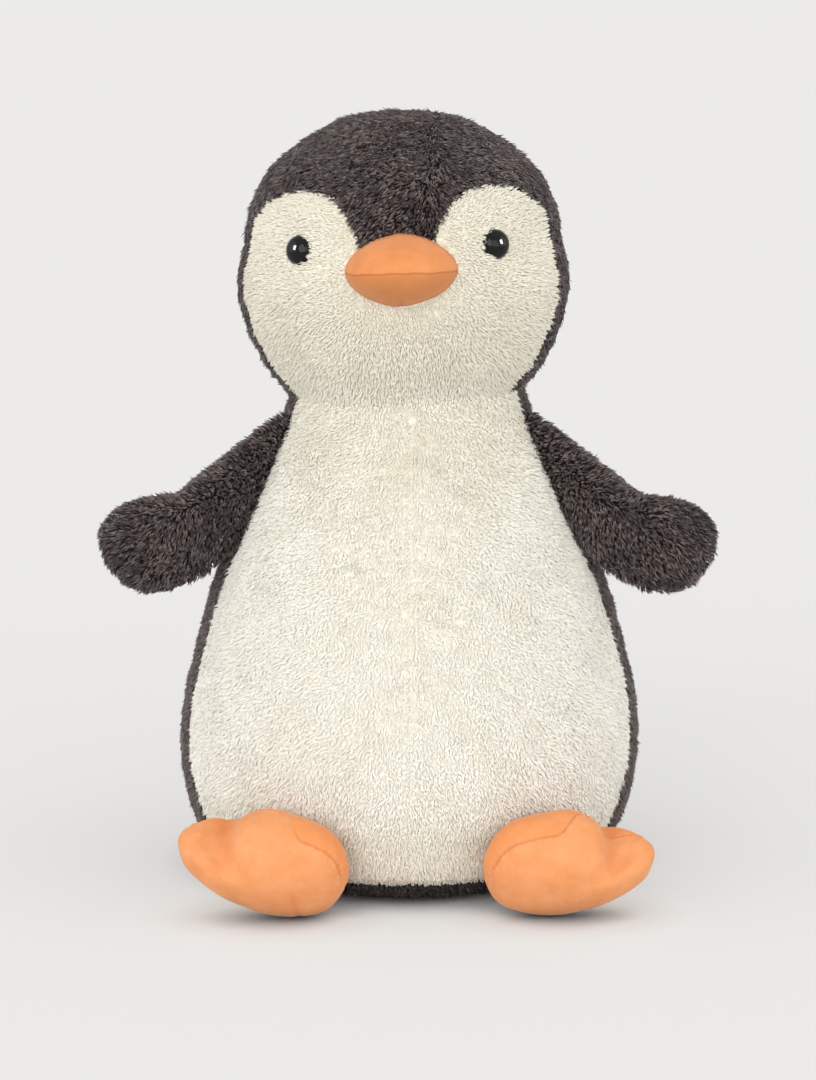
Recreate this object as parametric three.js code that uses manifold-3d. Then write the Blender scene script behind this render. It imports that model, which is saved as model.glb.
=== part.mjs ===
// A large sitting plush penguin: sewn skins over separate stuffing, with a head that nods on
// its neck seam, two flippers that swing on their root seams and two feet that flex at the heel.
// Millimetres, +Z up. The toy faces -Y, so its own left side is +X.
// The origin is the middle of the flat base that it sits on.
import * as THREE from "three";
import { mergeVertices } from "three/addons/utils/BufferGeometryUtils.js";
import Module from "manifold-3d";

// ---------------------------------------------------------------- driving dimensions

const SKIN = 6; // plush fabric and its pile
const SUEDE = 2.5; // short-napped suede fabric
const SEAM_GAP = 0.5; // between two panels that are sewn together
const STUFFING_GAP = 2; // between a skin and the stuffing behind it
const FAR = 400; // reach of the cutting shapes, past every side of the toy

// How finely each kind of surface is divided: faces round it, and from end to end.
const FINE = { outside: [30, 15], inside: [22, 11] };
const COARSE = { outside: [24, 8], inside: [18, 6] };

// Torso: half width at each height, and how deep it is for its width.
const TORSO_SIDE = [
  [134, 0],
  [167, 10],
  [193, 42],
  [205, 97],
  [202, 148],
  [192, 190],
  [180, 239],
  [165, 283],
  [126, 372],
  [108, 416],
  [103, 440],
];
const TORSO_TOP = 440; // the torso surface closes over here, above the neck seam
// The belly sags forwards at the bottom and is flatter up at the neck.
const TORSO_FRONT = { belly: 1.06, neck: 0.9, from: 120, to: 430 };
const TORSO_BACK = 0.82;
const HEM_HEIGHT = 20; // the dark base panel turns up round the bottom edge to here
// The seam from the belly to the back seen from the side: depth (y) at each height.
const SIDE_SEAM = [
  [-98, -10],
  [-90, 40],
  [-68, 105],
  [-50, 190],
  [-52, 282],
  [-33, 404],
  [-32, 450],
];

// Head: the same two descriptions, with its middle a little left of the torso's.
const HEAD_SIDE = [
  [98, 412],
  [106, 426],
  [125, 451],
  [141, 487],
  [147.5, 522],
  [141.5, 557],
  [134, 593],
  [113, 628],
  [60, 664],
  [18, 673],
];
const HEAD_TOP = 674;
const HEAD_BOTTOM = 406;
const HEAD_FRONT = 0.9;
const HEAD_BACK = 0.88;
const HEAD_X = -4;

// The neck seam, where the head nods. Both sides fall away from the hinge line.
const NECK_Z = 426;
const NECK_GAP = 1;
const NECK_RELIEF = THREE.MathUtils.degToRad(6);

// The face looks slightly to the toy's right and its left eye sits slightly higher.
const FACE_X = -3.8;
const FACE_Z = 541;
const FACE_TURN = THREE.MathUtils.degToRad(-2.5);
const FACE_TILT = THREE.MathUtils.degToRad(-1.85);
const FACE_SIDE_SEAM = -40; // depth of the seam between the face and the hood at the cheeks
// One lobe of the pale face over an eye, from beside the beak outwards, relative to the beak.
const FACE_LOBE = [
  [29, 12],
  [33, 28],
  [47, 56],
  [75, 67],
  [104, 60],
  [126, 38],
  [140, 8],
];

// Along an eye's own axis, heights are measured outwards from the tips of the pile.
const EYE = { x: 86, depth: -110, z: 19, radius: 12, seat: -4, rimTop: -2.5, domeTop: 5 };
const SHANK = { radius: 2.5, end: -22 };
const WASHER = { radius: 10, top: -7.2, bottom: -8.8 };
const EYE_CLEARANCE = 0.5;
const EYE_FACES = 14;
const BEAK = { x: 3, halfWidth: 50, halfHeight: 33, reach: 62, pointedness: 1.75, depth: -112 };
const BEAK_GAP = 0.4; // between the beak and the face that it is sewn to

// Flipper outline: along its root seam from the shoulder down, and outwards from the seam.
const FLIPPER_ROOT = { topZ: 404, bottomZ: 282, gap: 3 };
const FLIPPER_TIP = new THREE.Vector3(140, -20, -45); // from the middle of the root seam
const FLIPPER_OUTLINE = [
  [-64, 0],
  [-14, 32],
  [33, 66],
  [61, 103],
  [86, 114],
  [113, 97],
  [125, 62],
  [106, 26],
  [67, 0],
  [0, 0],
];
const FLIPPER_MIDDLE = [40, 50];
const FLIPPER_HALF_ROOT = 10;
const FLIPPER_HALF_THICK = 27;

// Foot outline: across the foot from the inner side outwards, and from the heel to the toes.
const FOOT_OUTLINE = [
  [-74, -3],
  [-65, 22],
  [-46, 35],
  [-22, 43],
  [-2, 46],
  [16, 40],
  [29, 25],
  [43, 19],
  [58, 23],
  [72, 17],
  [72, -2],
  [52, -25],
  [20, -44],
  [-20, -53],
  [-56, -47],
  [-71, -26],
];
const FOOT_HALF_THICK = 41;
const FOOT_PITCH = THREE.MathUtils.degToRad(62); // toes up from flat on the floor
const FOOT_TURN = THREE.MathUtils.degToRad(8); // toes outwards
const FOOT_ROLL = { left: THREE.MathUtils.degToRad(-7), right: THREE.MathUtils.degToRad(4) };
const FOOT_Y = { left: -214.5, right: -223 };
const FOOT_X = { left: 137, right: 122.5 };

const POUCH = { radius: 60, bottom: 8.5, top: 34, round: 10, clearance: 1 };
const LABEL = { width: 36, length: 46, thickness: 1, topZ: 95, y: 169.2 };

// ---------------------------------------------------------------- materials

const plush = (colour) =>
  new THREE.MeshStandardMaterial({ color: colour, roughness: 0.95, metalness: 0 });
const CHARCOAL = plush(0x544e4e);
const CREAM = plush(0xeeeadc);
const SUEDE_ORANGE = new THREE.MeshStandardMaterial({
  color: 0xf8a066,
  roughness: 0.85,
  metalness: 0,
});
const FIBREFILL = plush(0xf6f6f4);
const POUCH_CLOTH = plush(0xd8d2c4);
const RIBBON = new THREE.MeshStandardMaterial({ color: 0xf4f4f2, roughness: 0.5, metalness: 0 });
const EYE_BLACK = new THREE.MeshStandardMaterial({ color: 0x08080a, roughness: 0.08, metalness: 0 });
const WASHER_WHITE = new THREE.MeshStandardMaterial({
  color: 0xe6e6e2,
  roughness: 0.4,
  metalness: 0,
});

// ---------------------------------------------------------------- solids and meshes

const wasm = await Module();
wasm.setup();

// A closed three.js geometry as a solid for cutting and joining, faces turned outwards.
function solidFrom(geometry) {
  const bare = geometry.clone();
  bare.deleteAttribute("normal");
  bare.deleteAttribute("uv");
  const merged = mergeVertices(bare, 1e-3);
  const corners = merged.index.array;
  const triangles = [];
  for (let i = 0; i < corners.length; i += 3) {
    const [a, b, c] = corners.slice(i, i + 3);
    if (a !== b && b !== c && c !== a) triangles.push([a, b, c]);
  }
  const position = merged.attributes.position;
  const corner = (index) => new THREE.Vector3().fromBufferAttribute(position, index);
  const volume = triangles.reduce(
    (sum, [a, b, c]) => sum + corner(a).dot(corner(b).cross(corner(c))),
    0,
  );
  if (volume < 0) triangles.forEach((triangle) => triangle.reverse());
  return new wasm.Manifold(
    new wasm.Mesh({
      numProp: 3,
      vertProperties: position.array,
      triVerts: new Uint32Array(triangles.flat()),
    }),
  );
}

function meshFrom(name, solid, material) {
  const { vertProperties, triVerts } = solid.getMesh();
  const geometry = new THREE.BufferGeometry()
    .setAttribute("position", new THREE.BufferAttribute(vertProperties, 3))
    .setIndex(new THREE.BufferAttribute(triVerts, 1));
  geometry.computeVertexNormals();
  const mesh = new THREE.Mesh(geometry, material.clone());
  mesh.name = name;
  return mesh;
}

// Moves each vertex of a geometry through a function of its position.
function reshape(geometry, change) {
  const position = geometry.attributes.position;
  const point = new THREE.Vector3();
  for (let i = 0; i < position.count; i++) {
    point.fromBufferAttribute(position, i);
    change(point);
    position.setXYZ(i, point.x, point.y, point.z);
  }
  return geometry;
}

// The extrusion of a closed outline, from one end to the other along an axis.
// Along x the outline is (y, z); along y it is (x, z). grow pushes the outline outwards.
function prism(outline, axis, from, to, grow = 0) {
  const shape = new THREE.Shape(outline.map(([a, b]) => new THREE.Vector2(a, b)));
  const geometry = new THREE.ExtrudeGeometry(shape, {
    depth: to - from,
    bevelEnabled: grow > 0,
    bevelThickness: 0.1,
    bevelSize: 0,
    bevelOffset: grow,
    bevelSegments: 1,
  });
  geometry.translate(0, 0, from);
  return solidFrom(
    reshape(geometry, (p) => (axis === "x" ? p.set(p.z, p.x, p.y) : p.set(p.x, p.z, p.y))),
  );
}

const splinePoints = (points, count) =>
  new THREE.SplineCurve(points.map(([a, b]) => new THREE.Vector2(a, b)))
    .getPoints(count)
    .map((p) => [p.x, p.y]);

// A stuffed round body from its side outline. inset moves the whole surface inwards.
// front gives the depth for a width of 1 at each height, back the same behind.
function stuffedBody(outline, bottomZ, topZ, front, back, inset, [around, rings]) {
  const curve = new THREE.SplineCurve(outline.map(([r, z]) => new THREE.Vector2(r, z)));
  const profile = [new THREE.Vector2(0, bottomZ + inset)];
  for (let i = 0; i <= rings; i++) {
    const point = curve.getPoint(i / rings);
    const along = curve.getTangent(i / rings);
    point.add(new THREE.Vector2(-along.y, along.x).multiplyScalar(inset));
    point.y = Math.max(point.y, bottomZ + inset);
    profile.push(point);
  }
  profile.push(new THREE.Vector2(0, topZ - inset));
  const geometry = new THREE.LatheGeometry(profile, around).rotateX(Math.PI / 2);
  return reshape(geometry, (p) => {
    p.y *= p.y < 0 ? front(p.z) : back;
  });
}

// A pillow: a closed outline round a middle point, bulging to each side of its plane.
function pillow(outline, middle, halfThickness, inset, [around, across]) {
  const curve = new THREE.CatmullRomCurve3(
    outline.map(([a, b]) => new THREE.Vector3(a, b, 0)),
    true,
  );
  const centre = new THREE.Vector3(...middle, 0);
  return reshape(new THREE.SphereGeometry(1, around, across), (p) => {
    const turn = (Math.atan2(p.z, p.x) / (2 * Math.PI) + 1) % 1;
    const spread = Math.hypot(p.x, p.z);
    const bulge = p.y;
    const arm = curve.getPoint(turn).sub(centre);
    arm.setLength((arm.length() - inset) * spread);
    p.copy(centre).add(arm);
    p.z = bulge * (halfThickness(p.y) - inset);
  });
}

// Everything between two heights along an axis.
function slab(axis, from, to) {
  const size = { x: 4 * FAR, y: 4 * FAR, z: 4 * FAR, [axis]: to - from };
  const box = new THREE.BoxGeometry(size.x, size.y, size.z);
  const middle = new THREE.Vector3();
  middle[axis] = (from + to) / 2;
  return solidFrom(box.translate(middle.x, middle.y, middle.z));
}

// Everything on one side (1 or -1) of a seam along a coordinate plane.
const seamSide = (axis, side) =>
  side > 0 ? slab(axis, SEAM_GAP / 2, 2 * FAR) : slab(axis, -2 * FAR, -SEAM_GAP / 2);
const LEFT_HALF = seamSide("x", 1);
const RIGHT_HALF = seamSide("x", -1);

// ---------------------------------------------------------------- torso

const torsoFront = (z) => {
  const { belly, neck, from, to } = TORSO_FRONT;
  return THREE.MathUtils.lerp(belly, neck, THREE.MathUtils.smoothstep(z, from, to));
};

const torsoSurface = (inset, fineness) =>
  solidFrom(
    stuffedBody(TORSO_SIDE, 0, TORSO_TOP, torsoFront, TORSO_BACK, inset, fineness),
  );

// Everything on one side of the neck seam: below it (side -1) or above it (side 1).
function neckSide(side) {
  const edge = NECK_Z + (side * NECK_GAP) / 2;
  const fall = side * FAR * Math.tan(NECK_RELIEF);
  return prism(
    [
      [0, edge],
      [FAR, edge + fall],
      [FAR, edge + side * 2 * FAR],
      [-FAR, edge + side * 2 * FAR],
      [-FAR, edge + fall],
    ],
    "x",
    -FAR,
    FAR,
  );
}

function torsoMeshes() {
  const below = neckSide(-1);
  const skin = torsoSurface(0, FINE.outside)
    .subtract(torsoSurface(SKIN, FINE.inside))
    .intersect(below);
  const seam = splinePoints(SIDE_SEAM, 10);
  const inFront = (gap) =>
    prism([...seam.map(([y, z]) => [y + gap, z]), [-FAR, FAR + 50], [-FAR, -10]], "x", -FAR, FAR);
  const sides = skin.intersect(slab("z", HEM_HEIGHT + SEAM_GAP, 2 * FAR));
  const belly = sides.intersect(inFront(0));
  const back = sides.subtract(inFront(SEAM_GAP));
  const pouchShape = (grow) => {
    const { radius, bottom, top, round } = POUCH;
    const corner = (centreZ, start) =>
      new THREE.Path().absarc(radius - round, centreZ, round + grow, start, start + Math.PI / 2);
    const profile = [
      new THREE.Vector2(0, bottom - grow),
      ...corner(bottom + round, -Math.PI / 2).getPoints(2),
      ...corner(top - round, 0).getPoints(2),
      new THREE.Vector2(0, top + grow),
    ];
    return solidFrom(new THREE.LatheGeometry(profile, 20).rotateX(Math.PI / 2));
  };
  const pouchRecess = solidFrom(
    new THREE.CylinderGeometry(
      POUCH.radius + POUCH.clearance,
      POUCH.radius + POUCH.clearance,
      POUCH.top + POUCH.clearance,
      20,
    )
      .rotateX(Math.PI / 2)
      .translate(0, 0, (POUCH.top + POUCH.clearance) / 2),
  );
  const stuffing = torsoSurface(SKIN + STUFFING_GAP, FINE.inside)
    .intersect(below)
    .subtract(pouchRecess);
  const label = solidFrom(
    new THREE.BoxGeometry(LABEL.width, LABEL.thickness, LABEL.length).translate(
      0,
      LABEL.y,
      LABEL.topZ - LABEL.length / 2,
    ),
  );
  return [
    meshFrom("belly_panel_left", belly.intersect(LEFT_HALF), CREAM),
    meshFrom("belly_panel_right", belly.intersect(RIGHT_HALF), CREAM),
    meshFrom("back_panel_left", back.intersect(LEFT_HALF), CHARCOAL),
    meshFrom("back_panel_right", back.intersect(RIGHT_HALF), CHARCOAL),
    meshFrom("base_panel", skin.intersect(slab("z", -1, HEM_HEIGHT)), CHARCOAL),
    meshFrom("torso_stuffing", stuffing, FIBREFILL),
    meshFrom("bean_pouch", pouchShape(0), POUCH_CLOTH),
    meshFrom("care_label", label, RIBBON),
  ];
}

// ---------------------------------------------------------------- head

// From the face's own frame, with its middle at the origin, to the toy's frame.
const FACE_FRAME = new THREE.Matrix4()
  .makeTranslation(FACE_X, 0, FACE_Z)
  .multiply(new THREE.Matrix4().makeRotationZ(FACE_TURN))
  .multiply(new THREE.Matrix4().makeRotationY(FACE_TILT));

const headSurface = (inset, fineness) =>
  solidFrom(
    stuffedBody(
      HEAD_SIDE,
      HEAD_BOTTOM,
      HEAD_TOP,
      () => HEAD_FRONT,
      HEAD_BACK,
      inset,
      fineness,
    ).translate(HEAD_X, 0, 0),
  );

const inFaceFrame = (solid) => solid.transform(FACE_FRAME.toArray());

// The space in front of the seam round the face: two lobes above, the cheeks at the sides.
function faceRegion(grow) {
  const lobe = splinePoints(FACE_LOBE, 10);
  const mirrored = lobe.map(([x, z]) => [-x, z]).reverse();
  const outline = [[0, 0], ...lobe, [FAR, -20], [FAR, -FAR], [-FAR, -FAR], [-FAR, -20], ...mirrored];
  return inFaceFrame(prism(outline, "y", -FAR, FACE_SIDE_SEAM + grow, grow));
}

// Unit sphere directions pushed out into a lemon with blunt points.
const lemon = (inset, [around, rings]) =>
  solidFrom(
    reshape(new THREE.SphereGeometry(1, around, rings), (p) => {
      const power = BEAK.pointedness;
      const sum = Math.abs(p.x) ** power + Math.abs(p.y) ** power + Math.abs(p.z) ** power;
      p.multiplyScalar(sum ** (-1 / power));
      p.set(
        p.x * (BEAK.halfWidth - inset) + BEAK.x,
        p.z * (BEAK.reach - inset) + BEAK.depth,
        p.y * (BEAK.halfHeight - inset),
      );
    }),
  );

// Half width of the head at a height.
function headHalfWidth(z) {
  const upper = HEAD_SIDE.findIndex(([, height]) => height > z);
  const [lowWidth, lowZ] = HEAD_SIDE[upper - 1];
  const [highWidth, highZ] = HEAD_SIDE[upper];
  return THREE.MathUtils.mapLinear(z, lowZ, highZ, lowWidth, highWidth);
}

// The frame of an eye on the face: y points straight out of the skin.
function eyeFrame(side) {
  const centre = new THREE.Vector3(side * EYE.x, EYE.depth, EYE.z).applyMatrix4(FACE_FRAME);
  const halfWidth = headHalfWidth(centre.z);
  const halfDepth = halfWidth * HEAD_FRONT;
  const offset = centre.x - HEAD_X;
  centre.y = -halfDepth * Math.sqrt(1 - (offset / halfWidth) ** 2);
  const rise = (headHalfWidth(centre.z - 10) - headHalfWidth(centre.z + 10)) / 20;
  const outward = new THREE.Vector3(
    offset / halfWidth ** 2,
    centre.y / halfDepth ** 2,
    rise / halfWidth,
  ).normalize();
  const turn = new THREE.Quaternion().setFromUnitVectors(new THREE.Vector3(0, 1, 0), outward);
  return new THREE.Matrix4().compose(centre, turn, new THREE.Vector3(1, 1, 1));
}

// A round piece on an eye's axis. Its profile is (radius, height along the axis).
const roundPiece = (frame, profile, around) =>
  solidFrom(
    new THREE.LatheGeometry(
      profile.map(([r, height]) => new THREE.Vector2(r, height)),
      around,
    ).applyMatrix4(frame),
  );

const plainRound = (frame, radius, from, to) =>
  roundPiece(frame, [[0, from], [radius, from], [radius, to], [0, to]], EYE_FACES);

// One eye with its shank, its locking washer, and the room they need in skin and stuffing.
function eyeParts(side) {
  const frame = eyeFrame(side);
  const dome = [];
  const steps = 4;
  for (let i = 0; i <= steps; i++) {
    const angle = (i / steps) * (Math.PI / 2);
    const height = EYE.rimTop + (EYE.domeTop - EYE.rimTop) * Math.sin(angle);
    dome.push([EYE.radius * Math.cos(angle), height]);
  }
  const eye = [
    [0, SHANK.end],
    [SHANK.radius, SHANK.end],
    [SHANK.radius, EYE.seat],
    [EYE.radius, EYE.seat],
    ...dome.slice(0, -1),
    [0, EYE.domeTop],
  ];
  const shankHole = SHANK.radius + EYE_CLEARANCE;
  const room = plainRound(frame, EYE.radius + EYE_CLEARANCE, EYE.seat - EYE_CLEARANCE, 10)
    .add(plainRound(frame, shankHole, SHANK.end - EYE_CLEARANCE, 0))
    .add(
      plainRound(frame, WASHER.radius + 1, WASHER.bottom - EYE_CLEARANCE, WASHER.top + EYE_CLEARANCE),
    );
  const washer = plainRound(frame, WASHER.radius, WASHER.bottom, WASHER.top).subtract(
    plainRound(frame, SHANK.radius + 0.3, WASHER.bottom - 1, WASHER.top + 1),
  );
  return { eye: roundPiece(frame, eye, EYE_FACES), washer, room };
}

function headMeshes() {
  const above = neckSide(1);
  const eyes = { left: eyeParts(1), right: eyeParts(-1) };
  const eyeRoom = eyes.left.room.add(eyes.right.room);
  const skin = headSurface(0, FINE.outside)
    .subtract(headSurface(SKIN, FINE.inside))
    .intersect(above)
    .subtract(eyeRoom);
  const face = skin.intersect(faceRegion(0));
  const hood = skin.subtract(faceRegion(SEAM_GAP));
  const leftOfFace = inFaceFrame(LEFT_HALF);
  const rightOfFace = inFaceFrame(RIGHT_HALF);
  const stuffing = headSurface(SKIN + STUFFING_GAP, FINE.inside)
    .intersect(above)
    .subtract(eyeRoom);

  const beyondFace = headSurface(-BEAK_GAP, FINE.outside);
  const beakSkin = lemon(0, COARSE.outside).subtract(lemon(SUEDE, COARSE.outside));
  const beakHalf = (side) =>
    inFaceFrame(beakSkin.intersect(seamSide("z", side))).subtract(beyondFace);
  const beakFill = inFaceFrame(lemon(SUEDE + STUFFING_GAP, COARSE.inside)).subtract(beyondFace);
  return [
    meshFrom("face_panel_left", face.intersect(leftOfFace), CREAM),
    meshFrom("face_panel_right", face.intersect(rightOfFace), CREAM),
    meshFrom("hood_left", hood.intersect(leftOfFace), CHARCOAL),
    meshFrom("hood_right", hood.intersect(rightOfFace), CHARCOAL),
    meshFrom("head_stuffing", stuffing, FIBREFILL),
    meshFrom("beak_upper", beakHalf(1), SUEDE_ORANGE),
    meshFrom("beak_lower", beakHalf(-1), SUEDE_ORANGE),
    meshFrom("beak_stuffing", beakFill, FIBREFILL),
    ...Object.entries(eyes).flatMap(([side, parts]) => [
      meshFrom(`eye_${side}`, parts.eye, EYE_BLACK),
      meshFrom(`eye_washer_${side}`, parts.washer, WASHER_WHITE),
    ]),
  ];
}

// ---------------------------------------------------------------- flippers and feet

const SIDES = { left: 1, right: -1 };

// A pillow of two sewn panels and its stuffing, in the pillow's own plane.
function pillowMeshes(names, outline, middle, halfThickness, skin, material) {
  const surface = (inset, fineness) =>
    solidFrom(pillow(outline, middle, halfThickness, inset, fineness));
  const shell = surface(0, COARSE.outside).subtract(surface(skin, COARSE.inside));
  const fill = surface(skin + STUFFING_GAP, COARSE.inside);
  return [
    meshFrom(names[0], shell.intersect(seamSide("z", -1)), material),
    meshFrom(names[1], shell.intersect(seamSide("z", 1)), material),
    meshFrom(names[2], fill, FIBREFILL),
  ];
}

// A point on the torso's surface above the side seam, at a height.
function seamPoint(z) {
  const at = (rows, column) => {
    const upper = rows.findIndex((row) => row[1] > z);
    return THREE.MathUtils.mapLinear(
      z,
      rows[upper - 1][1],
      rows[upper][1],
      rows[upper - 1][column],
      rows[upper][column],
    );
  };
  const halfWidth = at(TORSO_SIDE, 0);
  const y = at(SIDE_SEAM, 0);
  return new THREE.Vector3(
    halfWidth * Math.sqrt(1 - (y / halfWidth) ** 2),
    y,
    z,
  );
}

// A flipper is built for the left side. The right one is its mirror image.
function flipper(side) {
  const top = seamPoint(FLIPPER_ROOT.topZ);
  const bottom = seamPoint(FLIPPER_ROOT.bottomZ);
  const downSeam = bottom.clone().sub(top).normalize();
  const towardsFront = downSeam.clone().cross(FLIPPER_TIP).normalize();
  const outwards = towardsFront.clone().cross(downSeam);
  const root = top.add(bottom).multiplyScalar(0.5).addScaledVector(outwards, FLIPPER_ROOT.gap);
  const frame = new THREE.Matrix4().makeBasis(downSeam, outwards, towardsFront).setPosition(root);
  const reach = FLIPPER_OUTLINE[4][1];
  const halfThickness = (out) =>
    THREE.MathUtils.lerp(
      FLIPPER_HALF_ROOT,
      FLIPPER_HALF_THICK,
      Math.sin((Math.PI / 2) * THREE.MathUtils.clamp(out / (0.7 * reach), 0, 1)),
    );
  const meshes = pillowMeshes(
    [`flipper_${side}_back`, `flipper_${side}_front`, `flipper_${side}_stuffing`],
    FLIPPER_OUTLINE,
    FLIPPER_MIDDLE,
    halfThickness,
    SKIN,
    CHARCOAL,
  );
  const built = new THREE.Group().add(...meshes);
  built.applyMatrix4(frame);
  const placed = new THREE.Group().add(built);
  placed.scale.x = SIDES[side];
  return placed;
}

// A foot is built for the left side with its heel down, toes up and sole to the front.
function foot(side) {
  const across = new THREE.Vector3(1, 0, 0);
  const towardsToes = new THREE.Vector3(0, -Math.cos(FOOT_PITCH), Math.sin(FOOT_PITCH));
  const throughSole = across.clone().cross(towardsToes);
  const meshes = pillowMeshes(
    [`foot_${side}_upper`, `foot_${side}_sole`, `foot_${side}_stuffing`],
    FOOT_OUTLINE,
    [0, 0],
    () => FOOT_HALF_THICK,
    SUEDE,
    SUEDE_ORANGE,
  );
  const pitched = new THREE.Group().add(...meshes);
  const sewnOn = new THREE.Matrix4().makeBasis(across, towardsToes, throughSole);
  pitched.applyMatrix4(sewnOn.multiply(new THREE.Matrix4().makeRotationZ(FOOT_ROLL[side])));
  const placed = new THREE.Group().add(pitched);
  placed.rotation.z = FOOT_TURN * SIDES[side];
  placed.scale.x = SIDES[side];
  placed.updateMatrixWorld(true);
  const lowest = new THREE.Box3().setFromObject(placed, true).min.z;
  placed.position.set(SIDES[side] * FOOT_X[side], FOOT_Y[side], -lowest);
  return placed;
}

const group = new THREE.Group();
group.add(...torsoMeshes(), ...headMeshes());
for (const side of Object.keys(SIDES)) group.add(flipper(side), foot(side));

export default group;
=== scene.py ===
"""A large sitting plush penguin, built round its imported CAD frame. Metres, +Z up, facing -Y."""

import bpy
import numpy as np
from mathutils import Matrix, Vector
from mathutils.bvhtree import BVHTree
from mathutils.kdtree import KDTree


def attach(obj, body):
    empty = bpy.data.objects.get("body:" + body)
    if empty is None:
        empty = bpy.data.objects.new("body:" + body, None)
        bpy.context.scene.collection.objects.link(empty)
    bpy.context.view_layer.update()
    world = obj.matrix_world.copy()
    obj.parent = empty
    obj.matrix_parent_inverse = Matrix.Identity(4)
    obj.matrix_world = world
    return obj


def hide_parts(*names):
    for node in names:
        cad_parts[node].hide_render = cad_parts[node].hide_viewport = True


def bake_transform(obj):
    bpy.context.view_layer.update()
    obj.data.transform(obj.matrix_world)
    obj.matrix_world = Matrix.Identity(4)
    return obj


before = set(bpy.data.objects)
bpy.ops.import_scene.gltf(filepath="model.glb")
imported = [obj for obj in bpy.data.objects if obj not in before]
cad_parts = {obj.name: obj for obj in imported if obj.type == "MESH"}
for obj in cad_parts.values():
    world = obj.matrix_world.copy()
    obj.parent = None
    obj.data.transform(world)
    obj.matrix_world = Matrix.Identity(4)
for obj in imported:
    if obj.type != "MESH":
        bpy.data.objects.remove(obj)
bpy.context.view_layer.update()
MM = 0.001
SCENE = bpy.context.scene

# ---------------------------------------------------------------- camera

CAMERA_PLACE = (0.0, -3.2, 0.785)
CAMERA_DOWN = np.radians(8.79)
CAMERA_LENS = 120.5  # mm, on a 36 mm long side

camera_data = bpy.data.cameras.new("camera")
camera_data.lens = CAMERA_LENS
camera_data.sensor_width = 36
camera_data.clip_end = 500
camera = bpy.data.objects.new("camera", camera_data)
camera.location = CAMERA_PLACE
camera.rotation_euler = (np.pi / 2 - CAMERA_DOWN, 0, 0)
SCENE.collection.objects.link(camera)
SCENE.camera = camera

# ---------------------------------------------------------------- small maths


def unit(v):
    v = np.asarray(v, float)
    return v / np.maximum(np.linalg.norm(v, axis=-1, keepdims=True), 1e-12)


def step(x, low, high):
    """0 below low, 1 above high, smooth between."""
    t = np.clip((np.asarray(x, float) - low) / (high - low), 0, 1)
    return t * t * (3 - 2 * t)


def waves(points, size, seed, count=9):
    """Smooth noise of position, mostly between -1 and 1, with features of about that size."""
    r = np.random.default_rng(seed)
    k = unit(r.normal(size=(count, 3))) * (np.pi / size) * r.uniform(0.6, 1.4, (count, 1))
    return np.sin(points @ k.T + r.uniform(0, 2 * np.pi, count)).sum(1) * (1.2 / np.sqrt(count))


def open_spline(points, count):
    """Catmull-Rom points through an open outline."""
    p = np.asarray(points, float)
    last = len(p) - 1
    t = np.linspace(0, last, count)
    i = np.minimum(t.astype(int), last - 1)
    w = (t - i)[:, None]
    p0, p1, p2, p3 = (p[np.clip(i + k, 0, last)] for k in (-1, 0, 1, 2))
    v0, v1 = (p2 - p0) / 2, (p3 - p1) / 2
    return (2 * p1 - 2 * p2 + v0 + v1) * w**3 + (-3 * p1 + 3 * p2 - 2 * v0 - v1) * w**2 + v0 * w + p1


def closed_spline(points, turn):
    """Centripetal Catmull-Rom points of a closed outline, at shares of the way round."""
    p = np.asarray(points, float)
    n = len(p)
    t = np.asarray(turn, float) % 1 * n
    i = np.floor(t).astype(int)
    w = (t - i)[:, None]
    p0, p1, p2, p3 = (p[(i + k) % n] for k in (-1, 0, 1, 2))
    d0, d1, d2 = (
        np.sqrt(np.linalg.norm(b - a, axis=1))[:, None] for a, b in ((p0, p1), (p1, p2), (p2, p3))
    )
    t1 = ((p1 - p0) / d0 - (p2 - p0) / (d0 + d1) + (p2 - p1) / d1) * d1
    t2 = ((p2 - p1) / d1 - (p3 - p1) / (d1 + d2) + (p3 - p2) / d2) * d1
    return p1 + t1 * w + (-3 * p1 + 3 * p2 - 2 * t1 - t2) * w**2 + (2 * p1 - 2 * p2 + t1 + t2) * w**3


# ---------------------------------------------------------------- mesh tools


def mesh_object(name, co, faces, materials=(), index=None):
    """A smooth-shaded object from points and equal-sided faces."""
    faces = np.asarray(faces, np.int32)
    mesh = bpy.data.meshes.new(name)
    mesh.vertices.add(len(co))
    mesh.vertices.foreach_set("co", np.asarray(co, np.float32).ravel())
    mesh.loops.add(faces.size)
    mesh.loops.foreach_set("vertex_index", faces.ravel())
    mesh.polygons.add(len(faces))
    mesh.polygons.foreach_set("loop_start", np.arange(0, faces.size, faces.shape[1], dtype=np.int32))
    for material in materials:
        mesh.materials.append(material)
    if index is not None:
        mesh.polygons.foreach_set("material_index", np.asarray(index, np.int32))
    mesh.update(calc_edges=True)
    mesh.polygons.foreach_set("use_smooth", np.ones(len(faces), bool))
    obj = bpy.data.objects.new(name, mesh)
    SCENE.collection.objects.link(obj)
    return obj


def points_of(obj):
    co = np.zeros(len(obj.data.vertices) * 3, np.float32)
    obj.data.vertices.foreach_get("co", co)
    return co.reshape(-1, 3).astype(float)


def set_points(obj, co):
    obj.data.vertices.foreach_set("co", np.asarray(co, np.float32).ravel())
    obj.data.update()


def normals_of(obj):
    n = np.zeros(len(obj.data.vertices) * 3, np.float32)
    obj.data.vertex_normals.foreach_get("vector", n)
    return n.reshape(-1, 3).astype(float)


def triangles_of(obj):
    obj.data.calc_loop_triangles()
    t = np.zeros(len(obj.data.loop_triangles) * 3, np.int32)
    obj.data.loop_triangles.foreach_get("vertices", t)
    return t.reshape(-1, 3)


def edges_of(obj):
    e = np.zeros(len(obj.data.edges) * 2, np.int32)
    obj.data.edges.foreach_get("vertices", e)
    return e.reshape(-1, 2)


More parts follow.
